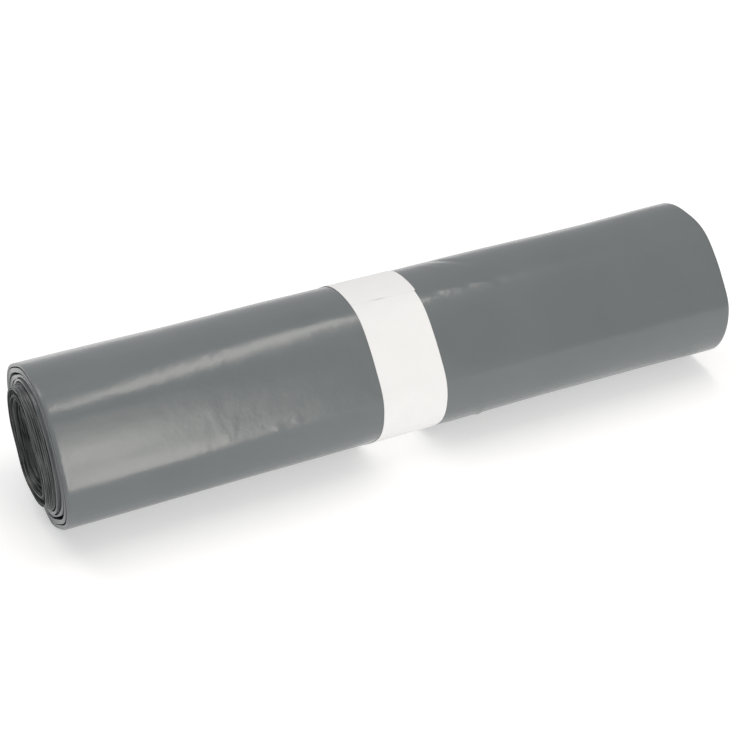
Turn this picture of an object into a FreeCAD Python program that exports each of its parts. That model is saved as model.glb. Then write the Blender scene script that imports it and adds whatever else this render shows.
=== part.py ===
"""A roll of bin bags with a paper band round its middle, in millimetres.

X runs along the roll, Y across it and Z up. The origin is on the floor under the middle of the roll, and the
near end is at -X. The bag film is folded to the roll's length and wound on itself with no core, so all its
turns are one strip. The soft roll has settled into an oval with a small flat spot below, and its inner turns
have slid out at the near end. The paper band is one strip, glued where its end laps over its start.
"""
import FreeCAD, Part
import Sketcher
import math
import os

os.makedirs("parts", exist_ok=True)
doc = FreeCAD.newDocument("bin_bag_roll")

SIZES = {
    "film_length": 350.0,       # the film's folded width, which is the length of the roll
    "roll_width": 90.0,
    "roll_height": 76.0,
    "flat_width": 24.0,         # flat spot that the roll rests on
    "free_edge": 0.5,           # thickness of the film's outer free edge
    "turn_thickness": 2.4,      # one wound layer of folded bags
    "turn_gap": 0.3,            # air between turns that lie close
    "outer_turns": 4,
    "core_width": 58.0,         # the rounder turns inside
    "core_flat": 12.0,
    "stepped_turns": 2,         # inner turns that slide out by degrees
    "close_turns": 3,           # inner turns that lie close together
    "loose_gap": 1.6,           # air between the turns round the middle
    "core_slide": 5.0,          # how far the middle stands out at the near end
    "smallest_bend": 1.0,       # inner radius of the tightest bend in the strip
    "band_width": 34.0,
    "band_centre": -1.3,        # the band's middle, from the middle of the roll
    "paper_thickness": 0.25,
    "band_clearance": 0.05,
    "seam_forward": 9.2,        # the paper's outer end, from the top line towards the front
    "seam_back": 8.6,           # the paper's inner end, from the top line towards the back
}
sheet = doc.addObject("Spreadsheet::Sheet", "sizes")
for row, (alias, value) in enumerate(SIZES.items(), start=1):
    sheet.set(f"A{row}", alias)
    sheet.set(f"B{row}", str(value))
    sheet.setAlias(f"B{row}", alias)
doc.recompute()


def size(alias):
    return float(sheet.get(alias))


def normal(degrees):
    angle = math.radians(degrees)
    return FreeCAD.Vector(0, math.cos(angle), math.sin(angle))


# The ovals

RISE = math.sqrt(2) - 1         # rise of an arc that turns 45 degrees, as a share of its run
MOUTH = -45                     # angle of the strip's free edge, low at the back
WHOLE_TURN = ("crown_left", "left", "heel_left", "heel_right", "right", "crown_right")
# The strip steps inwards at the joint before each of these arcs, at this angle.
JOINTS = {"crown_right": 45, "left": 135, "heel_left": 225, "right": 315}
STEPS = len(JOINTS)


def oval(width, height, flat_half):
    """An oval with its flat spot on z = 0: each arc's centre, radius and first and last angle."""
    side = (height - RISE * (width - flat_half)) / (2 * (1 - RISE))
    out = width / 2 - side
    crown = side + out * math.sqrt(2)
    heel = side + (out - flat_half) * math.sqrt(2)
    side_z = side + RISE * (out - flat_half)
    return {
        "right": (FreeCAD.Vector(0, out, side_z), side, -45, 45),
        "crown_right": (FreeCAD.Vector(0, 0, height - crown), crown, 45, 90),
        "crown_left": (FreeCAD.Vector(0, 0, height - crown), crown, 90, 135),
        "left": (FreeCAD.Vector(0, -out, side_z), side, 135, 225),
        "heel_left": (FreeCAD.Vector(0, -flat_half, heel), heel, 225, 270),
        "heel_right": (FreeCAD.Vector(0, flat_half, heel), heel, 270, 315),
    }


def outer_oval():
    return oval(size("roll_width"), size("roll_height"), size("flat_width") / 2)


# The roll of bags


class Strip:
    """The wound film, followed inwards from its free edge.

    Each arc keeps its direction where it meets the next. At each joint the radius shrinks by one step of the
    turn's pitch and the centre moves by as much, so the turns lie evenly inside each other.
    """

    def __init__(self, arcs, depth):
        self.arcs = arcs
        self.depth = depth
        self.shift = FreeCAD.Vector()
        self.thickness = size("turn_thickness")

    def follow(self, names, pitch, outermost=()):
        """The next arcs, each as (outer arc, inner arc); an outermost arc keeps to the oval outside."""
        stretches = []
        for name in names:
            if name in JOINTS:
                self.depth += pitch / STEPS
                self.shift = self.shift + normal(JOINTS[name]) * (pitch / STEPS)
            centre, radius, first, last = self.arcs[name]
            moved = centre + self.shift
            inner = (moved, radius - self.depth - self.thickness, first, last)
            outer = (moved, radius - self.depth, first, last)
            if name in outermost:
                outer = (centre, radius, first, last)
            stretches.append((outer, inner))
        return stretches

    def room(self, pitch):
        """The tightest inner radius that one more turn at this pitch would end with."""
        return min(arc[1] for arc in self.arcs.values()) - self.depth - pitch - self.thickness


def arc_point(arc, angle):
    centre, radius = arc[:2]
    return centre + normal(angle) * radius


def line_of_arcs(arcs):
    """Edges along a row of arcs, with a straight edge wherever two of them lie apart."""
    edges = []
    for arc, following in zip(arcs, arcs[1:] + [None]):
        first, last = arc[2:]
        points = [arc_point(arc, angle) for angle in (first, (first + last) / 2, last)]
        edges.append(Part.Arc(*points).toShape())
        if following and not points[-1].isEqual(arc_point(following, following[2]), 1e-7):
            edges.append(Part.makeLine(points[-1], arc_point(following, following[2])))
    return edges


def strip_solid(stretches, slide):
    """One turn of the strip at its full length, slid out towards the near end."""
    outer = [stretch[0] for stretch in stretches]
    inner = [stretch[1] for stretch in stretches]
    start = Part.makeLine(arc_point(inner[0], inner[0][2]), arc_point(outer[0], outer[0][2]))
    end = Part.makeLine(arc_point(outer[-1], outer[-1][3]), arc_point(inner[-1], inner[-1][3]))
    edges = [start] + line_of_arcs(outer) + [end] + line_of_arcs(inner)[::-1]
    face = Part.Face(Part.Wire(edges))
    face.translate(FreeCAD.Vector(-slide, 0, 0))
    return face.extrude(FreeCAD.Vector(size("film_length"), 0, 0))


def outer_turns():
    """The turns outside, from the free edge round to the top, and the strip that goes on from there."""
    arcs = outer_oval()
    gap = size("turn_gap")
    pitch = size("turn_thickness") + gap
    # The free edge lies at a joint, so the strip is taken up one step before it.
    step = pitch / STEPS
    strip = Strip(arcs, size("free_edge") + gap - pitch - step)
    strip.shift = normal(JOINTS["right"]) * -step
    first_names = WHOLE_TURN[4:]
    turns = [strip.follow(first_names, pitch, outermost=first_names)]
    # A gap is left open between the free edge and the turn that passes under it.
    free_angle = MOUTH + math.degrees(gap / arcs["right"][1])
    turns[0][0] = tuple(arc[:2] + (free_angle, arc[3]) for arc in turns[0][0])
    for number in range(int(size("outer_turns"))):
        outermost = WHOLE_TURN[:4] if number == 0 else ()
        turns.append(strip.follow(WHOLE_TURN, pitch, outermost))
    return turns


def core_turns(last_outer_turn):
    """The rounder turns inside, which fill the height that the outer turns leave."""
    gap = size("turn_gap")
    thickness = size("turn_thickness")
    pitch = thickness + gap
    top = arc_point(last_outer_turn[-1][0], 90)
    bottom = arc_point(last_outer_turn[WHOLE_TURN.index("heel_left")][1], 270)
    # Two steps on the way down lift the strip off the bottom, so the oval is that much higher.
    height = top.z - bottom.z - gap + 2 * pitch / STEPS
    arcs = oval(size("core_width"), height, size("core_flat") / 2)
    strip = Strip(arcs, 0)
    strip.shift = top - arc_point(arcs["crown_left"], 90)
    turns = []
    while strip.room(pitch) > size("smallest_bend"):
        turns.append(strip.follow(WHOLE_TURN, pitch))
        if len(turns) >= size("close_turns"):
            pitch = thickness + size("loose_gap")
    return turns


def bag_roll():
    outside = outer_turns()
    inside = core_turns(outside[-1])
    solids = [strip_solid(turn, 0) for turn in outside]
    for number, turn in enumerate(inside, start=1):
        slid = min(1, number / (size("stepped_turns") + 1))
        solids.append(strip_solid(turn, slid * size("core_slide")))
    return solids[0].multiFuse(solids[1:])


roll = doc.addObject("Part::Feature", "bag_roll")
roll.Label = "bag_roll"
roll.Shape = bag_roll()
roll.Placement = FreeCAD.Placement()
roll.setExpression("Placement.Base.x", "(sizes.core_slide - sizes.film_length) / 2")
roll.setExpression("Placement.Base.z", "sizes.paper_thickness + sizes.band_clearance")

# The paper band

FLAT = "sizes.flat_width / 2"
SIDE = f"(sizes.roll_height - (sqrt(2) - 1) * (sizes.roll_width - {FLAT})) / (4 - 2 * sqrt(2))"
CROWN = f"({SIDE} + (sizes.roll_width / 2 - {SIDE}) * sqrt(2))"
HEEL = f"({SIDE} + (sizes.roll_width / 2 - {SIDE} - {FLAT}) * sqrt(2))"
CROWN_Z = f"sizes.roll_height - {CROWN}"
INSIDE = "sizes.band_clearance"
OUTSIDE = "(sizes.band_clearance + sizes.paper_thickness)"
AXIS, UPRIGHT = -1, -2          # a sketch's own origin and upright axis
START, END, CENTRE = 1, 2, 3    # the points of an arc or a line


def sketch_on_section(body, name):
    sketch = body.newObject("Sketcher::SketchObject", name)
    planes = {feature.Role: feature for feature in body.Origin.OriginFeatures}
    sketch.AttachmentSupport = (planes["YZ_Plane"], "")
    sketch.MapMode = "FlatFace"
    return sketch


def constrain(sketch, kind, *where, value=None, expression=None):
    """One constraint; a dimension also gets the expression that it follows."""
    if expression is None:
        sketch.addConstraint(Sketcher.Constraint(kind, *where))
        return
    index = sketch.addConstraint(Sketcher.Constraint(kind, *where, value))
    sketch.setExpression(f"Constraints[{index}]", expression)


def sketch_arc(centre, radius, first, last):
    circle = Part.Circle(FreeCAD.Vector(centre.y, centre.z, 0), FreeCAD.Vector(0, 0, 1), radius)
    return Part.ArcOfCircle(circle, math.radians(first), math.radians(last))


def draw_oval(sketch, grow, grow_expression):
    """The roll's oval, grown outwards, as tangent arcs and a flat."""
    flat_half = size("flat_width") / 2
    arcs = outer_oval()
    crown_centre, crown_radius = arcs["crown_right"][:2]
    flat_ends = [FreeCAD.Vector(side * flat_half, -grow, 0) for side in (-1, 1)]
    rows = [(crown_centre, crown_radius, 45, 135), arcs["left"], arcs["heel_left"], None,
            arcs["heel_right"], arcs["right"]]
    ids = []
    for row in rows:
        piece = Part.LineSegment(*flat_ends)
        if row is not None:
            piece = sketch_arc(row[0], row[1] + grow, row[2], row[3])
        ids.append(sketch.addGeometry(piece, False))
    crown, left, heel_left, flat, heel_right, right = ids
    for piece, following in zip(ids, ids[1:] + ids[:1]):
        constrain(sketch, "Tangent", piece, END, following, START)
    constrain(sketch, "Equal", left, right)
    constrain(sketch, "Equal", heel_left, heel_right)
    constrain(sketch, "Symmetric", flat, START, flat, END, UPRIGHT)
    constrain(sketch, "PointOnObject", crown, CENTRE, UPRIGHT)
    side_radius, heel_radius = arcs["left"][1], arcs["heel_left"][1]
    radii = ((crown, crown_radius, CROWN), (left, side_radius, SIDE), (heel_left, heel_radius, HEEL))
    for piece, radius, expression in radii:
        grown = f"{expression} + {grow_expression}"
        constrain(sketch, "Radius", piece, value=radius + grow, expression=grown)
    constrain(sketch, "DistanceX", AXIS, START, flat, END, value=flat_half, expression=FLAT)
    constrain(sketch, "DistanceY", flat, END, AXIS, START, value=grow, expression=grow_expression)
    constrain(sketch, "DistanceY", AXIS, START, crown, CENTRE, value=crown_centre.z, expression=CROWN_Z)


def draw_lap(sketch):
    """The second layer of paper on the crown, where the band is glued to itself."""
    centre, radius = outer_oval()["crown_right"][:2]
    paper = size("paper_thickness")
    under = radius + size("band_clearance") + paper
    front, back = size("seam_forward"), size("seam_back")
    first = math.degrees(math.acos(back / under))
    last = math.degrees(math.acos(-front / under))
    inner, outer = [
        sketch.addGeometry(sketch_arc(centre, lift, first, last), False) for lift in (under, under + paper)
    ]
    ends = []
    for angle in (first, last):
        foot, head = [centre + normal(angle) * lift for lift in (under, under + paper)]
        points = [FreeCAD.Vector(point.y, point.z, 0) for point in (foot, head)]
        ends.append(sketch.addGeometry(Part.LineSegment(*points), False))
    for segment, point in zip(ends, (START, END)):
        constrain(sketch, "Coincident", segment, START, inner, point)
        constrain(sketch, "Coincident", segment, END, outer, point)
        constrain(sketch, "PointOnObject", inner, CENTRE, segment)
    constrain(sketch, "Coincident", inner, CENTRE, outer, CENTRE)
    constrain(sketch, "PointOnObject", inner, CENTRE, UPRIGHT)
    constrain(sketch, "DistanceY", AXIS, START, inner, CENTRE, value=centre.z, expression=CROWN_Z)
    constrain(sketch, "Radius", inner, value=under, expression=f"{CROWN} + {OUTSIDE}")
    over = f"{CROWN} + {OUTSIDE} + sizes.paper_thickness"
    constrain(sketch, "Radius", outer, value=under + paper, expression=over)
    constrain(sketch, "DistanceX", inner, END, AXIS, START, value=front, expression="sizes.seam_forward")
    constrain(sketch, "DistanceX", AXIS, START, inner, START, value=back, expression="sizes.seam_back")


def pad(body, sketch, name):
    feature = body.newObject("PartDesign::Pad", name)
    feature.Profile = sketch
    feature.setExpression("Length", "sizes.band_width")
    sketch.Visibility = False
    return feature


band = doc.addObject("PartDesign::Body", "paper_band")
band.Label = "paper_band"
sleeve_section = sketch_on_section(band, "sleeve_section")
draw_oval(sleeve_section, size("band_clearance"), INSIDE)
draw_oval(sleeve_section, size("band_clearance") + size("paper_thickness"), OUTSIDE)
pad(band, sleeve_section, "sleeve")
lap_section = sketch_on_section(band, "lap_section")
draw_lap(lap_section)
pad(band, lap_section, "lap")
band.setExpression("Placement.Base.x", "sizes.band_centre - sizes.band_width / 2")
band.setExpression("Placement.Base.z", "sizes.paper_thickness + sizes.band_clearance")
doc.recompute()

# Check and write each piece

for item in doc.Objects:
    if {"Invalid", "Error"} & set(item.State):
        raise RuntimeError(f"{item.Name} failed: {item.State}")
for piece in (roll, band):
    shape = piece.Shape
    if shape.isNull() or not shape.isValid() or len(shape.Solids) != 1:
        raise RuntimeError(f"{piece.Label} isn't one sound solid")
    shape.exportStep(f"parts/{piece.Label}.step")
    print(piece.Label, round(shape.Volume), "mm3", shape.BoundBox)
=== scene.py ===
"""The looks of a roll of bin bags with a paper band: wound film, paper, finishes, lights, floor and camera.

X runs along the roll with the near end at -X, Y across it away from the camera, and Z is up, in metres.
An angle round the roll is in degrees from +Y towards +Z: 90 is the top and 180 the side near the camera.
The film is one strip wound inwards. A turn number counts along it, and 0 is its free edge, low at the back.
"""
import math

import bpy
import numpy as np
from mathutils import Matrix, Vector, noise


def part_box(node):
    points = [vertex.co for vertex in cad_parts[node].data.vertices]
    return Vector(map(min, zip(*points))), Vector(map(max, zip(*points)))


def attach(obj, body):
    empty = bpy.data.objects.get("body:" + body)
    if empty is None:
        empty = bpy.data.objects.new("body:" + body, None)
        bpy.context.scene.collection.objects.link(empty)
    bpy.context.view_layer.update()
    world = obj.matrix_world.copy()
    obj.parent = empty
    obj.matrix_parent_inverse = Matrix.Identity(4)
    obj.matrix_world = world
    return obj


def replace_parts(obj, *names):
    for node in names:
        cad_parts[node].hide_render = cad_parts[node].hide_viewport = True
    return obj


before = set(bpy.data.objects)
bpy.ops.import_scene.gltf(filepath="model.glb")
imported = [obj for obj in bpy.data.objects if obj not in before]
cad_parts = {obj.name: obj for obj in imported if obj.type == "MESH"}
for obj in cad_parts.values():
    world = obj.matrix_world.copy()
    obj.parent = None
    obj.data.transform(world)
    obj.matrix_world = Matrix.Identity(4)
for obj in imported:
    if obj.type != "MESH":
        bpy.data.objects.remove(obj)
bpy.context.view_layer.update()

MM = 0.001

# Places taken from the frame

roll_low, roll_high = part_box("bag_roll")
band_low, band_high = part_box("paper_band")
CORE_SLIDE = 5.0 * MM                       # how far the middle of the roll stands out at the near end
NEAR_RIM = roll_low.x + CORE_SLIDE
FAR_RIM = roll_high.x
FLOOR_GAP = roll_low.z                      # the band lies under the roll, so the film clears the floor
MIDDLE_Z = 37.7 * MM                        # height of the line that angles are measured round
HALF_WIDTH = (roll_high.y - roll_low.y) / 2

# The outline of the outer turn

SQUARENESS = 2.33                           # exponent of the oval: 2 is an ellipse
RISE_ABOVE = 38.9 * MM                      # from the middle line to the top, and to the underside
DROP_BELOW = 38.7 * MM
FLAT_EDGE = 0.25 * MM                       # how gently the flat spot under the roll begins
# The soft roll is pressed in at these places: angle, spread in degrees, depth in mm.
PRESSED = ((45, 26, 3.9), (143, 20, 4.5), (161, 14, 2.4), (224, 22, 3.4))
TWIST = 4.0                                 # these places turn by this angle either way along the near half
TWIST_CENTRE = -92.0 * MM
TWIST_REACH = 60.0 * MM
# The far end is fuller low in front and on top, and flatter underneath: angle, spread, height in mm.
FAR_FULLER = ((213, 15, 1.6), (62, 24, 0.8), (242, 13, -0.7))
FAR_FULLER_START = 120.0 * MM


def turned(angle, centre):
    """Angle from a centre, between -180 and 180 degrees."""
    return (angle - centre + 180.0) % 360.0 - 180.0


def smooth(t):
    t = np.clip(t, 0.0, 1.0)
    return t * t * (3.0 - 2.0 * t)


def outer_radius(angle, x=TWIST_CENTRE):
    """Distance of the outer turn's outside from the middle line, at an angle and a place along the roll."""
    radians = np.radians(angle)
    cosine, sine = np.cos(radians), np.sin(radians)
    upright = np.where(sine > 0, RISE_ABOVE, DROP_BELOW)
    power = (np.abs(cosine) / HALF_WIDTH) ** SQUARENESS + (np.abs(sine) / upright) ** SQUARENESS
    radius = power ** (-1.0 / SQUARENESS)
    twist = TWIST * np.tanh((TWIST_CENTRE - x) / TWIST_REACH)
    for centre, spread, depth in PRESSED:
        radius = radius - depth * MM * np.exp(-(turned(angle - twist, centre) / spread) ** 2)
    fuller = smooth((x - FAR_FULLER_START) / (FAR_RIM - FAR_FULLER_START))
    for centre, spread, height in FAR_FULLER:
        radius = radius + height * MM * fuller * np.exp(-(turned(angle, centre) / spread) ** 2)
    to_floor = (MIDDLE_Z - FLOOR_GAP) / np.maximum(1e-3, -sine)
    return radius - FLAT_EDGE * np.logaddexp(0.0, (radius - to_floor) / FLAT_EDGE)


# The turns inside

FREE_ANGLE = -45.0                          # where the strip's free edge lies
SIDE_PITCH = 3.25 * MM                      # from one outer turn to the next, at the sides and on top
TOP_PITCH = 2.2 * MM
OUTER_DEPTHS = (0.0, 1.0, 2.3)              # how many pitches deep each outer turn lies
# Turns inside, as distances from the middle line in mm, at every 30 degrees from the back over the top.
FIRST_CORE_TURN = (31.3, 31.4, 31.3, 31.2, 31.2, 31.6, 32.6, 33.0, 31.8, 30.2, 30.4, 30.8)
BUNDLE_OUTSIDE = (29.2, 29.8, 29.8, 29.6, 28.8, 28.9, 30.4, 31.4, 29.3, 27.4, 27.8, 28.2)
TIP_TURN_REACH = (26.4, 28.4, 28.4, 28.0, 24.2, 22.3, 26.6, 29.2, 26.4, 24.4, 25.0, 22.8)
SECOND_TIP = (18.6, 24.0, 24.0, 22.4, 18.6, 17.0, 21.0, 24.6, 21.6, 20.2, 18.2, 15.6)
HOLLOW_INSIDE = (9.0, 12.0, 12.5, 11.5, 8.0, 6.0, 6.0, 7.0, 9.0, 10.5, 10.0, 8.5)
# The turns of the bundle lie in pairs, at these shares of the way from its outside to the first tip turn.
BUNDLE_SHARES = (0.0, 0.05, 0.20, 0.25, 0.40, 0.45, 0.60, 0.65, 0.80, 0.85)
BUNDLE_TURNS = len(BUNDLE_SHARES)
INNER_TURNS = 6
HOLLOW_TURNS = 10


def rounded(reaches, angle):
    """Smooth closed outline through the reaches, which are spaced evenly round the roll."""
    count = len(reaches)
    values = np.array(reaches)
    place = (angle % 360.0) * count / 360.0
    low = np.floor(place).astype(int)
    t = place - low
    before, first, second, after = (values[(low + step) % count] for step in (-1, 0, 1, 2))
    start, stop = (second - before) / 2, (after - first) / 2
    rise = second - first
    return (first + t * (start + t * (3 * rise - 2 * start - stop + t * (start + stop - 2 * rise)))) * MM


def between(first, last, share):
    return tuple(a + (b - a) * share for a, b in zip(first, last))


def turn_levels(angle):
    """Radius of every turn's outside at these angles, from the outer turn inwards."""
    pitch = TOP_PITCH + (SIDE_PITCH - TOP_PITCH) * np.cos(np.radians(angle)) ** 2
    outside = outer_radius(angle)
    levels = [outside - pitch * depth for depth in OUTER_DEPTHS]
    levels.append(rounded(FIRST_CORE_TURN, angle))
    levels += [rounded(between(BUNDLE_OUTSIDE, TIP_TURN_REACH, share), angle) for share in BUNDLE_SHARES]
    groups = (
        (TIP_TURN_REACH, SECOND_TIP, INNER_TURNS),
        (SECOND_TIP, HOLLOW_INSIDE, HOLLOW_TURNS),
    )
    for first, last, count in groups:
        levels += [rounded(between(first, last, turn / count), angle) for turn in range(count)]
    levels.append(rounded(HOLLOW_INSIDE, angle))
    return np.array(levels)


OUTER_TURNS = len(OUTER_DEPTHS)
CORE_TURN = OUTER_TURNS                     # turn numbers where each group of turns starts
BUNDLE_TURN = CORE_TURN + 1
TIP_TURN = BUNDLE_TURN + BUNDLE_TURNS
HOLLOW_TURN = TIP_TURN + INNER_TURNS
LAST_TURN = HOLLOW_TURN + HOLLOW_TURNS

# Places along the strip where its film thickness and its slide towards the near end are given, in mm.
THICKNESS = {0: 2.4, CORE_TURN: 1.9, BUNDLE_TURN: 0.3, TIP_TURN: 0.3, LAST_TURN: 0.2}
SLIDE_GROUPS = {
    0: (0.0, 0.2, 0.0),
    CORE_TURN: (1.2,),
    BUNDLE_TURN: (1.6, 1.7, 2.3, 2.4, 2.9, 3.0, 3.6, 3.7, 4.3, 4.4),
    TIP_TURN: (5.0, 4.7, 2.8, 2.6, 2.4, 4.6),
    HOLLOW_TURN: (4.8, 3.0, 0.6, 2.6, -1.0, 1.4, -3.5, -1.5, -6.0),
    LAST_TURN: (-9.0,),
}
SLIDES = {
    first + turn: slide
    for first, slides in SLIDE_GROUPS.items()
    for turn, slide in enumerate(slides)
}
LEAST_GAP = 0.5 * MM                        # air between outer turns, and between the thin ones
THIN_GAP = 0.08 * MM
GAP_SHARE = 0.4                             # the air takes at most this share of the room between two turns
LEAST_FILM = 0.03 * MM
FREE_STEP = 0.18                            # the free edge's thickness as a share of the turn's pitch
STEP_REACH = 0.375                          # share of a turn in which the strip steps inwards
LAST_DIP = 0.9                              # share of a turn where it dips before passing under itself
# The outer turns' near rims draw back low at the back: angle, spread in degrees, depth.
DRAWN_BACK = (-52.0, 30.0, 1.5 * MM)


def level_of(turn):
    """The strip keeps to one level for most of a turn and steps inwards at the back."""
    whole = np.floor(turn)
    share = turn - whole
    dip = FREE_STEP * smooth((share - LAST_DIP) / (1.0 - LAST_DIP))
    step = FREE_STEP + (1.0 - FREE_STEP) * smooth(share / STEP_REACH)
    return np.where(whole < 1, 0.0, whole - 1.0 + step) + dip


def along(values, turn):
    return np.interp(level_of(turn), sorted(values), [values[key] * MM for key in sorted(values)])


def rim_slides(turn):
    """How far the strip's near rim stands out from the plane of the outer rim."""
    angle, spread, depth = DRAWN_BACK
    outer_share = np.clip((TIP_TURN - level_of(turn)) / BUNDLE_TURNS, 0.0, 1.0)
    drawn = depth * outer_share * np.exp(-(turned(FREE_ANGLE + 360.0 * turn, angle) / spread) ** 2)
    return along(SLIDES, turn) - drawn


def strip_radius(turn):
    angle = FREE_ANGLE + 360.0 * turn
    levels = turn_levels(angle)
    place = np.clip(level_of(turn), 0, LAST_TURN - 1e-6)
    low = np.floor(place).astype(int)
    column = np.arange(len(turn))
    share = place - low
    return levels[low, column] * (1.0 - share) + levels[low + 1, column] * share


def strip_thickness(turn):
    """The film fills the room to the next turn, up to its own thickness."""
    room = strip_radius(turn) - strip_radius(np.minimum(turn + 1.0, LAST_TURN))
    gap = np.where(turn < BUNDLE_TURN, LEAST_GAP, THIN_GAP)
    thin = np.where(turn > LAST_TURN - 1.0, THIN_GAP, room - np.minimum(gap, GAP_SHARE * room))
    return np.clip(thin, LEAST_FILM, along(THICKNESS, turn))


# Waves and creases in the film

WAVE_HEIGHT = 0.28 * MM
WAVE_ALONG = 55.0 * MM
WAVE_ROUND = 24.0 * MM
RIPPLE_HEIGHT = 0.045 * MM
RIPPLE_SIZE = 9.0 * MM
CINCH_DEPTH = 0.03 * MM                     # the band draws the film in a little and flattens its waves
CINCH_REACH = 7.0 * MM
CALM_REACH = 14.0 * MM
RIM_DEPTH = 0.05 * MM                       # the film turns in at its rims
RIM_REACH = 1.0 * MM
RIM_ROUND = 0.45 * MM
CALM_BELOW = 15.0                           # no waves within this angle of the flat spot's middle
CALM_FADE = 15.0                            # and they grow over this angle beside it
# Creases: points as (mm along the roll, angle), half width in mm, height in mm.
CREASES = (
    (((-101, 146), (-99, 160), (-95, 177)), 1.5, 0.07),
    (((-89, 150), (-92, 164), (-95, 177)), 1.4, 0.07),
    (((-95, 177), (-85, 171), (-73, 172), (-66, 178)), 1.4, 0.09),
    (((-74, 171), (-69, 175)), 1.5, 0.16),
    (((-63, 168), (-60, 173)), 1.4, 0.12),
    (((-120, 138), (-118, 144)), 1.4, 0.10),
    (((-57, 121), (-42, 128), (-27, 137)), 2.0, 0.10),
    (((-26, 164), (-22, 171)), 1.4, 0.12),
    (((-175, 112), (-150, 121), (-138, 124)), 2.4, 0.14),
    (((-96, 106), (-88, 112), (-84, 117)), 1.6, 0.10),
    (((36, 52), (39, 66), (47, 80), (52, 88)), 2.4, -0.38),
    (((29, 68), (33, 80), (36, 87)), 2.0, 0.16),
    (((25, 108), (32, 110), (40, 110)), 1.5, 0.24),
    (((42, 109), (48, 111), (57, 116)), 1.5, 0.32),
    (((16, 114), (22, 116), (27, 117)), 1.5, 0.15),
    (((30, 190), (36, 200), (41, 222), (46, 240)), 2.0, 0.55),
    (((16, 196), (24, 199), (30, 206)), 1.8, 0.16),
)


def waves(x, angle):
    """Slow waves and fine ripples, as one value for each point of a grid."""
    radius = HALF_WIDTH
    heights = np.empty(x.shape)
    for index in np.ndindex(x.shape):
        turn = math.radians(angle[index])
        ring = Vector((math.cos(turn), math.sin(turn), 0.0)) * radius
        slow = Vector((ring.x / WAVE_ROUND, ring.y / WAVE_ROUND, x[index] / WAVE_ALONG))
        quick = Vector((ring.x, ring.y, x[index])) / RIPPLE_SIZE
        heights[index] = WAVE_HEIGHT * noise.noise(slow) + RIPPLE_HEIGHT * noise.noise(quick)
    return heights


def crease(x, angle, points, half_width, height):
    """A ridge along a broken line on the film, which fades at both ends."""
    arc = math.radians(1.0) * HALF_WIDTH
    u, v = x, turned(angle, points[0][1]) * arc
    best = np.full(x.shape, 1e3)
    place = np.zeros(x.shape)
    total = 0.0
    for (x0, a0), (x1, a1) in zip(points, points[1:]):
        start = np.array([x0 * MM, turned(a0, points[0][1]) * arc])
        run = np.array([x1 * MM, turned(a1, points[0][1]) * arc]) - start
        length = float(np.hypot(*run))
        t = np.clip(((u - start[0]) * run[0] + (v - start[1]) * run[1]) / length ** 2, 0.0, 1.0)
        away = np.hypot(u - start[0] - run[0] * t, v - start[1] - run[1] * t)
        closer = away < best
        best = np.where(closer, away, best)
        place = np.where(closer, total + t * length, place)
        total += length
    fade = np.sqrt(np.clip(4.0 * place * (total - place) / total ** 2, 0.0, 1.0))
    return height * MM * fade * np.exp(-(best / (half_width * MM)) ** 2)


def film_relief(x, angle):
    """Height of the outer turn's waves, creases, drawn-in places and rims above its plain form."""
    band_middle, half_band = (band_low.x + band_high.x) / 2, (band_high.x - band_low.x) / 2
    from_band = np.maximum(0.0, np.abs(x - band_middle) - half_band)
    relief = waves(x, angle) * smooth(from_band / CALM_REACH)
    for points, half_width, height in CREASES:
        relief = relief + crease(x, angle, points, half_width, height)
    for edge in (band_low.x, band_high.x):
        relief = relief - CINCH_DEPTH * np.exp(-((x - edge) / CINCH_REACH) ** 2)
    for rim in (NEAR_RIM, FAR_RIM):
        relief = relief - RIM_DEPTH * np.exp(-np.abs(x - rim) / RIM_REACH)
    under = (x > band_low.x) & (x < band_high.x)
    relief = np.where(under, -CINCH_DEPTH, relief)
    return relief * smooth((np.abs(turned(angle, -90.0)) - CALM_BELOW) / CALM_FADE)


# Meshes


def new_piece(name, points, faces, material, slot):
    mesh = bpy.data.meshes.new(name)
    mesh.from_pydata(points, [], faces)
    mesh.validate()
    mesh.polygons.foreach_set("use_smooth", [True] * len(mesh.polygons))
    mesh.materials.append(material)
    piece = bpy.data.objects.new(name, mesh)
    bpy.context.scene.collection.objects.link(piece)
    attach(piece, "root")
    return piece


def grid_points(x, angle, radius):
    radians = np.radians(angle)
    return np.stack([x, radius * np.cos(radians), MIDDLE_Z + radius * np.sin(radians)], axis=-1)


def closed_strip(rows):
    """Points and faces of a strip whose rows are closed loops, with a face over each end."""
    count, ring = rows.shape[:2]
    corner = np.arange(count * ring).reshape(count, ring)
    following = np.roll(corner, -1, axis=1)
    quads = np.stack([corner[:-1], following[:-1], following[1:], corner[1:]], axis=-1).reshape(-1, 4)
    faces = [tuple(int(i) for i in quad) for quad in quads]
    faces.append(tuple(int(i) for i in corner[0][::-1]))
    faces.append(tuple(int(i) for i in corner[-1]))
    return [tuple(point) for point in rows.reshape(-1, 3)], faces


RIM_STEPS = 9                               # points round the rounded rim of a turn
RIM_GROOVE = 0.55 * MM                      # the gap between the two films in a thick turn's rim
GROOVE_WIDTH = 0.3                          # its half width, in radians of the way round the rim
RIM_HIGHLIGHT_MARK = "rim"                            # the attribute that tells how much painted highlight the points on the rims get
DIM_RIM_HIGHLIGHT = 0.1                              # every other turn's rim gets this share of the painted highlight beside the turns between
SAMPLES = 160                               # points along each turn of the strip


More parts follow.
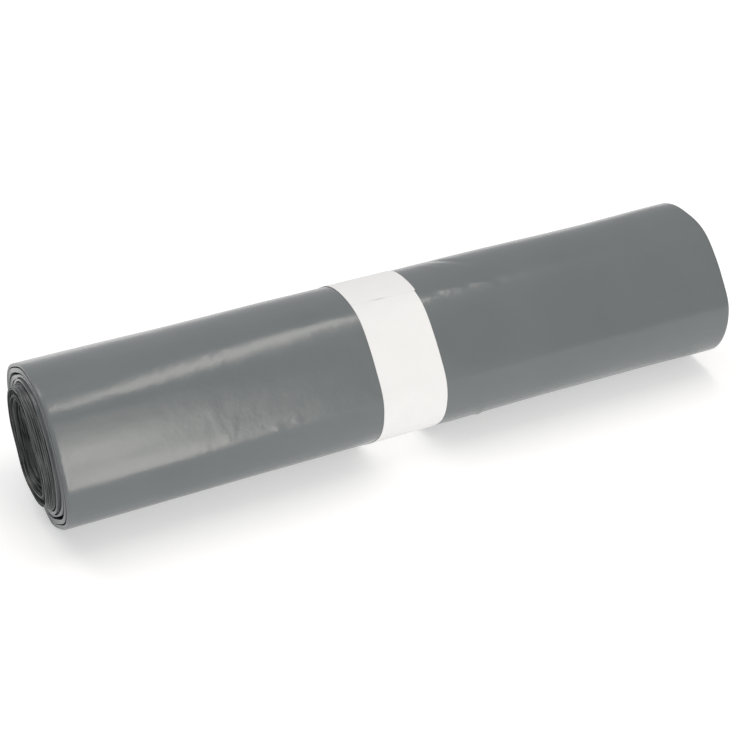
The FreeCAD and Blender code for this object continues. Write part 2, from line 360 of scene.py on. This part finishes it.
def rim_grid(rim_x, side, angle, radius, thick, lift):
    """Points round a grooved rim: side is 1 at the far end, going in, and -1 at the near end, going out."""
    bevel = np.minimum(thick / 2, RIM_ROUND)
    groove = np.minimum(RIM_GROOVE, thick / 4)
    way = np.linspace(0.0, math.pi, RIM_STEPS + 2)[1:-1]
    rim_radius = radius[:, None] - thick[:, None] / 2 * (1.0 - side * np.cos(way)[None, :])
    dip = np.exp(-((way - math.pi / 2) / GROOVE_WIDTH) ** 2)
    swell = bevel[:, None] * np.sin(way) - groove[:, None] * dip
    angles = np.repeat(angle[:, None], RIM_STEPS, axis=1)
    return grid_points(rim_x + side * swell, angles, rim_radius + lift[:, None])


def mark_rim_highlights(piece, turn, columns, ring):
    """Marks the points on the rims for a painted highlight: full on one turn and dim on the next."""
    pale = np.where(np.floor(level_of(turn)) % 2 == 0, 1.0, DIM_RIM_HIGHLIGHT)[:, None]
    marks = np.zeros((len(turn), ring))
    marks[:, columns:columns + RIM_STEPS] = pale
    marks[:, -RIM_STEPS:] = pale
    piece.data.attributes.new(RIM_HIGHLIGHT_MARK, "FLOAT", "POINT").data.foreach_set("value", marks.ravel())


def wound_film(name, first, last, columns, relief, material):
    """A stretch of the strip between two turn numbers, with rounded rims at both ends of the roll."""
    turn = np.linspace(first, last, int(round((last - first) * SAMPLES)) + 1)
    angle = FREE_ANGLE + 360.0 * turn
    radius = strip_radius(turn)
    thick = strip_thickness(turn)
    bevel = np.minimum(thick / 2, RIM_ROUND)
    start = (NEAR_RIM - rim_slides(turn) + bevel)[:, None]
    end = (FAR_RIM - np.abs(along(SLIDES, turn)) - bevel)[:, None]
    x_outside = start + (end - start) * np.linspace(0.0, 1.0, columns)[None, :]
    angles = np.repeat(angle[:, None], columns, axis=1)
    twisted = outer_radius(angles, x_outside) - outer_radius(angles)
    fading = np.clip(1.0 - level_of(turn) / OUTER_TURNS, 0.0, 1.0)[:, None]
    lift = (relief(x_outside, angles) if relief else 0.0) + twisted * fading
    outside = grid_points(x_outside, angles, radius[:, None] + lift)
    far_rim = rim_grid(end, 1.0, angle, radius, thick, lift[:, -1])
    near_rim = rim_grid(start, -1.0, angle, radius, thick, lift[:, 0])
    inner_x = np.concatenate([end, start], axis=1)
    inside = grid_points(inner_x, angles[:, :2], (radius - thick)[:, None] + lift[:, [-1, 0]])
    rows = np.concatenate([outside, far_rim, inside, near_rim], axis=1)
    piece = new_piece(name, *closed_strip(rows), material, "film")
    mark_rim_highlights(piece, turn, columns, rows.shape[1])
    return piece


# The paper band

PAPER = 0.14 * MM
PAPER_END = 0.03 * MM                       # thickness at the outer end, which is pressed flat
PAPER_LIFT = 0.02 * MM
PAPER_START = 38.0                          # angle of its inner end, which lies under the outer one
SEAM_FRONT = 9.2 * MM                       # its outer end, in front of the top line
SEAM_SHIFT = 0.9 * MM                       # the outer layer reaches this much further on its far side
PRESSED_SPREAD = 6.0                        # degrees over which the outer end is pressed flat
LAP_RISE = 12.0                             # degrees over which the outer layer climbs on to the inner one
LAP_BEFORE = 14.0                           # and where it starts, before the inner end
TICK_PLACE = -4.0 * MM                      # a small lifted spot in the outer end
TICK_REACH = 3.0 * MM
TICK_LIFT = 0.22 * MM
PAPER_WAVE = 0.12 * MM
WAVE_DEGREES = 16.0                         # size of the paper's waves round the roll and along it
WAVE_WIDTH = 14.0 * MM
WAVE_SEED = 7.3
PAPER_CALM_BELOW = 25.0                     # no waves this near the flat spot's middle, or in the lap
CALM_PAST_LAP = 10.0
CALM_LAP_FADE = 20.0
PAPER_COLUMNS = 30
PAPER_STEP = 2.0                            # degrees between rows of points
EDGE_SHARE = 0.004                          # the last rows lie this close to the paper's edges
EDGE_ANGLE = 0.2                            # and this close to its ends, in degrees


def angle_over_top(y):
    return math.degrees(math.atan2(float(outer_radius(np.array([90.0]))[0]), y))


def paper_waves(x, angle, angles, end):
    """Slow waves in the paper, which only lift it, and which leave the flat spot and the lap alone."""
    wave = [[noise.noise(Vector((a / WAVE_DEGREES, v / WAVE_WIDTH, WAVE_SEED))) for v in row]
            for a, row in zip(angle, x)]
    below = smooth((np.abs(turned(angles, -90.0)) - PAPER_CALM_BELOW) / CALM_FADE)
    overlap = end - 360.0 - PAPER_START + CALM_PAST_LAP
    after_start = smooth((angles - PAPER_START - overlap) / CALM_LAP_FADE)
    before_end = smooth((end - overlap - angles) / CALM_LAP_FADE)
    return PAPER_WAVE * np.maximum(wave, 0.0) * below * after_start * before_end


def paper_band(material):
    """One strip of paper round the roll, which laps over its own start on top."""
    start, end = PAPER_START, angle_over_top(-SEAM_FRONT) + 360.0
    angle = np.linspace(start, end, int((end - start) / PAPER_STEP))
    angle = np.sort(np.append(angle, (start + EDGE_ANGLE, end - EDGE_ANGLE)))
    lap = smooth((angle - (start + 360.0 - LAP_BEFORE)) / LAP_RISE)
    width = band_high.x - band_low.x - SEAM_SHIFT
    shift = SEAM_SHIFT * (angle - start) / (end - start)
    places = np.linspace(EDGE_SHARE, 1.0 - EDGE_SHARE, PAPER_COLUMNS - 2)
    places = np.concatenate([[0.0], places, [1.0]])
    x = band_low.x + (width + shift[:, None]) * places[None, :]
    angles = np.repeat(angle[:, None], PAPER_COLUMNS, axis=1)
    near_end = np.exp(-((end - angles) / PRESSED_SPREAD) ** 2)
    tick = TICK_LIFT * near_end ** 4 * np.exp(-((x - TICK_PLACE) / TICK_REACH) ** 2)
    under = outer_radius(angles, x) + PAPER_LIFT + lap[:, None] * PAPER
    under = under + paper_waves(x, angle, angles, end) + tick
    pressed = PAPER - (PAPER - PAPER_END) * near_end
    outside = grid_points(x, angles, under + pressed)
    inside = grid_points(x[:, ::-1], angles, under[:, ::-1])
    points, faces = closed_strip(np.concatenate([outside, inside], axis=1))
    band = new_piece("paper_band_paper", points, faces, material, "paper")
    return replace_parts(band, "paper_band")


# Finishes

# Each noise has a size in features for each metre, and its bump a depth in metres.
SOFT_SPREAD = (0.1, 0.9)                    # the noise values that a gentle change of colour spreads over
FILM_DARK = (0.121, 0.135, 0.138)
FILM_LIGHT = (0.140, 0.153, 0.157)
FILM_ROUGHNESS = 0.22
FILM_IOR = 1.5
BLOTCHES = 28.0
DENTS, DENT_DEPTH = 130.0, 0.00013
DIMPLES, DIMPLE_DEPTH = 420.0, 0.00004
STREAKS, STREAK_DEPTH = 700.0, 0.000014
STREAK_STRETCH = (1.0, 0.06, 0.06)          # the film was drawn round the roll
# Painted shade in the gaps between the thin turns' edges, then the walls' own grey.
EDGE_PAINTED_SHADE = (0.008, 0.009, 0.009)
EDGE_PALE = (0.110, 0.118, 0.118)
# Painted highlight on the thin turns' rims.
RIM_PAINTED_HIGHLIGHT = (0.260, 0.275, 0.270)
EDGE_ROUGHNESS = 0.35
EDGE_LINES, EDGE_DEPTH = 1500.0, 0.0002     # fine lines across the turns' edges, bumped, with painted shade between them
EDGE_STRETCH = (1.0, 0.05, 0.05)
EDGE_SPREAD = (0.44, 0.56)                  # the noise values over which a wall goes from painted shade to its own pale grey
PAPER_SHADE = (0.760, 0.758, 0.757)
PAPER_WHITE = (0.795, 0.793, 0.792)
PAPER_ROUGHNESS = (0.72, 0.88)
PAPER_CLOUDS = 90.0
FIBRES, FIBRE_DEPTH = 2600.0, 0.00003
FIBRE_STRETCH = (1.0, 1.0, 0.4)
CRINKLES, CRINKLE_DEPTH = 160.0, 0.00012
FLOOR_SHADE = (0.70, 0.70, 0.70)
FLOOR_LIGHT = (0.72, 0.72, 0.72)
FLOOR_MOTTLE = 6.0
FLOOR_ROUGHNESS = 0.9
FLOOR_GLOW = 0.42                           # lifts the pale floor to white


def new_material(name):
    """A material with its node tree, its shader and object coordinates."""
    material = bpy.data.materials.new(name)
    material.use_nodes = True
    nodes, links = material.node_tree.nodes, material.node_tree.links
    shader = next(node for node in nodes if node.type == "BSDF_PRINCIPLED")
    coordinates = nodes.new("ShaderNodeTexCoord")
    return material, nodes, links, shader, coordinates.outputs["Object"]


def noise_node(nodes, links, vector, scale, detail=3.0):
    """Noise with its scale in features for each metre."""
    texture = nodes.new("ShaderNodeTexNoise")
    texture.inputs["Scale"].default_value = scale
    texture.inputs["Detail"].default_value = detail
    links.new(vector, texture.inputs["Vector"])
    return texture.outputs["Fac"]


def stretched(nodes, links, vector, scale):
    mapping = nodes.new("ShaderNodeMapping")
    mapping.inputs["Scale"].default_value = scale
    links.new(vector, mapping.inputs["Vector"])
    return mapping.outputs["Vector"]


def ranged(nodes, links, value, low, high, start=0.3, stop=0.7):
    node = nodes.new("ShaderNodeMapRange")
    links.new(value, node.inputs["Value"])
    for name, setting in (("From Min", start), ("From Max", stop), ("To Min", low), ("To Max", high)):
        node.inputs[name].default_value = setting
    return node.outputs["Result"]


def mixed_colour(nodes, links, factor, first, second):
    node = nodes.new("ShaderNodeMix")
    node.data_type = "RGBA"
    links.new(factor, node.inputs["Factor"])
    for socket, colour in ((node.inputs[6], first), (node.inputs[7], second)):
        if isinstance(colour, bpy.types.NodeSocket):
            links.new(colour, socket)
        else:
            socket.default_value = (*colour, 1.0)
    return node.outputs[2]


def bumped(nodes, links, shader, layers):
    """Bump from several heights, each given with its depth in metres."""
    normal = None
    for height, depth in layers:
        node = nodes.new("ShaderNodeBump")
        node.inputs["Distance"].default_value = depth
        links.new(height, node.inputs["Height"])
        if normal is not None:
            links.new(normal, node.inputs["Normal"])
        normal = node.outputs["Normal"]
    links.new(normal, shader.inputs["Normal"])


def film_material():
    """Grey glossy film: faint blotches, drawn streaks round the roll and small dents in its gloss."""
    material, nodes, links, shader, place = new_material("grey_film")
    blotches = noise_node(nodes, links, place, BLOTCHES, 2.0)
    shade = ranged(nodes, links, blotches, 0.0, 1.0, *SOFT_SPREAD)
    colour = mixed_colour(nodes, links, shade, FILM_DARK, FILM_LIGHT)
    links.new(colour, shader.inputs["Base Color"])
    shader.inputs["Roughness"].default_value = FILM_ROUGHNESS
    shader.inputs["IOR"].default_value = FILM_IOR
    streaks = noise_node(nodes, links, stretched(nodes, links, place, STREAK_STRETCH), STREAKS, 2.0)
    dents = noise_node(nodes, links, place, DENTS, 3.0)
    dimples = noise_node(nodes, links, place, DIMPLES, 2.0)
    bumped(nodes, links, shader, ((dents, DENT_DEPTH), (dimples, DIMPLE_DEPTH), (streaks, STREAK_DEPTH)))
    return material


def edges_material():
    """The same film where many thin turns end: a painted highlight on the rims, and painted shade in the
    gaps between fine lines on the walls.
    """
    material, nodes, links, shader, place = new_material("film_edges_painted_light")
    lines = noise_node(nodes, links, stretched(nodes, links, place, EDGE_STRETCH), EDGE_LINES, 1.0)
    # Painted shade: the gaps between the fine lines are darkened as shade falls in them.
    gaps = ranged(nodes, links, lines, 0.0, 1.0, *EDGE_SPREAD)
    walls = mixed_colour(nodes, links, gaps, EDGE_PAINTED_SHADE, EDGE_PALE)
    # Painted highlight: the marked rims are made pale, as light catching them would make them.
    mark = nodes.new("ShaderNodeAttribute")
    mark.attribute_name = RIM_HIGHLIGHT_MARK
    colour = mixed_colour(nodes, links, mark.outputs["Fac"], walls, RIM_PAINTED_HIGHLIGHT)
    links.new(colour, shader.inputs["Base Color"])
    shader.inputs["Roughness"].default_value = EDGE_ROUGHNESS
    bumped(nodes, links, shader, ((lines, EDGE_DEPTH),))
    return material


def paper_material():
    """Plain matt white paper with fine fibres."""
    material, nodes, links, shader, place = new_material("white_paper")
    clouds = noise_node(nodes, links, place, PAPER_CLOUDS, 5.0)
    shade = ranged(nodes, links, clouds, 0.0, 1.0, *SOFT_SPREAD)
    colour = mixed_colour(nodes, links, shade, PAPER_SHADE, PAPER_WHITE)
    links.new(colour, shader.inputs["Base Color"])
    fibres = noise_node(nodes, links, stretched(nodes, links, place, FIBRE_STRETCH), FIBRES, 4.0)
    links.new(ranged(nodes, links, fibres, *PAPER_ROUGHNESS), shader.inputs["Roughness"])
    crinkles = noise_node(nodes, links, place, CRINKLES, 3.0)
    bumped(nodes, links, shader, ((crinkles, CRINKLE_DEPTH), (fibres, FIBRE_DEPTH)))
    return material


def floor_material():
    """A pale floor that glows a little, as paper lit from below does."""
    material, nodes, links, shader, place = new_material("pale_floor")
    mottle = noise_node(nodes, links, place, FLOOR_MOTTLE, 2.0)
    colour = mixed_colour(nodes, links, mottle, FLOOR_SHADE, FLOOR_LIGHT)
    links.new(colour, shader.inputs["Base Color"])
    shader.inputs["Roughness"].default_value = FLOOR_ROUGHNESS
    shader.inputs["Emission Color"].default_value = (1.0, 1.0, 1.0, 1.0)
    shader.inputs["Emission Strength"].default_value = FLOOR_GLOW
    return material


# Floor, lights and camera

FLOOR_REACH = 25.0


def floor():
    mesh = bpy.data.meshes.new("floor")
    corners = [(x * FLOOR_REACH, y * FLOOR_REACH, 0.0) for x, y in ((-1, -1), (1, -1), (1, 1), (-1, 1))]
    mesh.from_pydata(corners, [], [(0, 1, 2, 3)])
    mesh.materials.append(floor_material())
    ground = bpy.data.objects.new("floor", mesh)
    bpy.context.scene.collection.objects.link(ground)


# Soft lights: place, the point each faces, width, height, brightness beside white paper, and turn.
LIGHTS = {
    "overhead": ((0.30, -0.08, 1.30), (0.30, -0.08, 0.0), 0.22, 0.92, 6.3, -24.0),
    "behind": ((-0.35, 0.55, 1.20), (0.0, 0.0, 0.04), 0.60, 0.60, 3.0, 0.0),
    "front_low": ((0.050, -0.90, 0.20), (0.050, 0.0, 0.20), 0.22, 0.40, 6.8, 0.0),
    "front_middle": ((0.075, -0.90, 0.50), (0.075, 0.0, 0.50), 0.26, 0.26, 3.9, 0.0),
    "front_high": ((0.10, -0.90, 0.80), (0.10, 0.0, 0.80), 0.30, 0.38, 1.6, 0.0),
    "front_right": ((0.36, -0.90, 0.48), (0.36, 0.0, 0.48), 0.24, 0.96, 0.35, 0.0),
}
LIGHT_COLOUR = (1.0, 0.96, 0.90)


def soft_light(name, place, target, width, height, brightness, turn):
    light = bpy.data.lights.new(name, "AREA")
    light.shape = "RECTANGLE"
    light.size, light.size_y = width, height
    light.energy = brightness * math.pi * width * height
    light.color = LIGHT_COLOUR
    lamp = bpy.data.objects.new(name, light)
    lamp.location = place
    lamp.rotation_euler = (Vector(target) - Vector(place)).to_track_quat("-Z", "Y").to_euler()
    lamp.rotation_euler.rotate_axis("Z", math.radians(turn))
    bpy.context.scene.collection.objects.link(lamp)


# The studio's brightness beside white paper: in front low and high, overhead, behind, and beyond both ends.
SKY_LOW = (0.54, 0.545, 0.56)
SKY_HIGH = (0.51, 0.515, 0.525)
SKY_OVERHEAD = (0.92, 0.92, 0.94)
SKY_BEHIND = (0.80, 0.795, 0.83)
SKY_NEAR_END = (0.08, 0.08, 0.08)
SKY_FAR_END = (0.34, 0.34, 0.34)
# The sky goes over to each of these, in this order, between two values of the direction along an axis.
SKY_CHANGES = (
    ("Z", 0.0, 0.5, SKY_HIGH),
    ("Y", -0.1, 0.5, SKY_BEHIND),
    ("Z", 0.60, 0.85, SKY_OVERHEAD),
    ("X", -0.35, -0.75, SKY_NEAR_END),
    ("X", 0.25, 0.75, SKY_FAR_END),
)


def sky_colour(nodes, links):
    direction = nodes.new("ShaderNodeTexCoord").outputs["Generated"]
    parts = nodes.new("ShaderNodeSeparateXYZ")
    links.new(direction, parts.inputs["Vector"])
    sky = SKY_LOW
    for axis, start, stop, colour in SKY_CHANGES:
        share = ranged(nodes, links, parts.outputs[axis], 0.0, 1.0, start, stop)
        sky = mixed_colour(nodes, links, share, sky, colour)
    return sky


def surroundings():
    """A pale studio, brighter overhead and behind the roll and darker beyond its ends, and the lights."""
    world = bpy.data.worlds.new("studio")
    world.use_nodes = True
    nodes, links = world.node_tree.nodes, world.node_tree.links
    background = next(node for node in nodes if node.type == "BACKGROUND")
    links.new(sky_colour(nodes, links), background.inputs["Color"])
    bpy.context.scene.world = world
    bpy.context.scene.view_settings.view_transform = "Standard"
    for name, settings in LIGHTS.items():
        soft_light(name, *settings)


CAMERA_PLACE = (-0.3215, -0.649, 0.4977)
CAMERA_TURN = 26.0                          # degrees from +Y towards +X
CAMERA_DIP = 32.8                           # degrees below the horizon
SENSOR = 36.0
LENS = 85.64


def camera():
    data = bpy.data.cameras.new("camera")
    data.sensor_width = SENSOR
    data.lens = LENS
    data.clip_start = 0.01
    viewer = bpy.data.objects.new("camera", data)
    viewer.location = CAMERA_PLACE
    viewer.rotation_euler = (math.radians(90.0 - CAMERA_DIP), 0.0, math.radians(-CAMERA_TURN))
    bpy.context.scene.collection.objects.link(viewer)
    bpy.context.scene.camera = viewer


# The scene

OUTER_COLUMNS = 234                         # points along the roll on each piece of the strip
CLOSE_COLUMNS = 6
BUNDLE_COLUMNS = 2
HOLLOW_COLUMNS = 6
OUTSIDE_END = 1.1                           # the outer piece ends under the free edge

camera()
surroundings()
floor()
film = film_material()
film_edges_painted_light = edges_material()
stretches = (
    ("outer_turn", 0.0, OUTSIDE_END, OUTER_COLUMNS, film_relief, film),
    ("close_turns", OUTSIDE_END, BUNDLE_TURN, CLOSE_COLUMNS, None, film),
    ("bundle_turns", BUNDLE_TURN, HOLLOW_TURN, BUNDLE_COLUMNS, None, film_edges_painted_light),
    ("hollow_turns", HOLLOW_TURN, LAST_TURN, HOLLOW_COLUMNS, None, film_edges_painted_light),
)
for stretch in stretches:
    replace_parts(wound_film(*stretch), "bag_roll")
paper_band(paper_material())
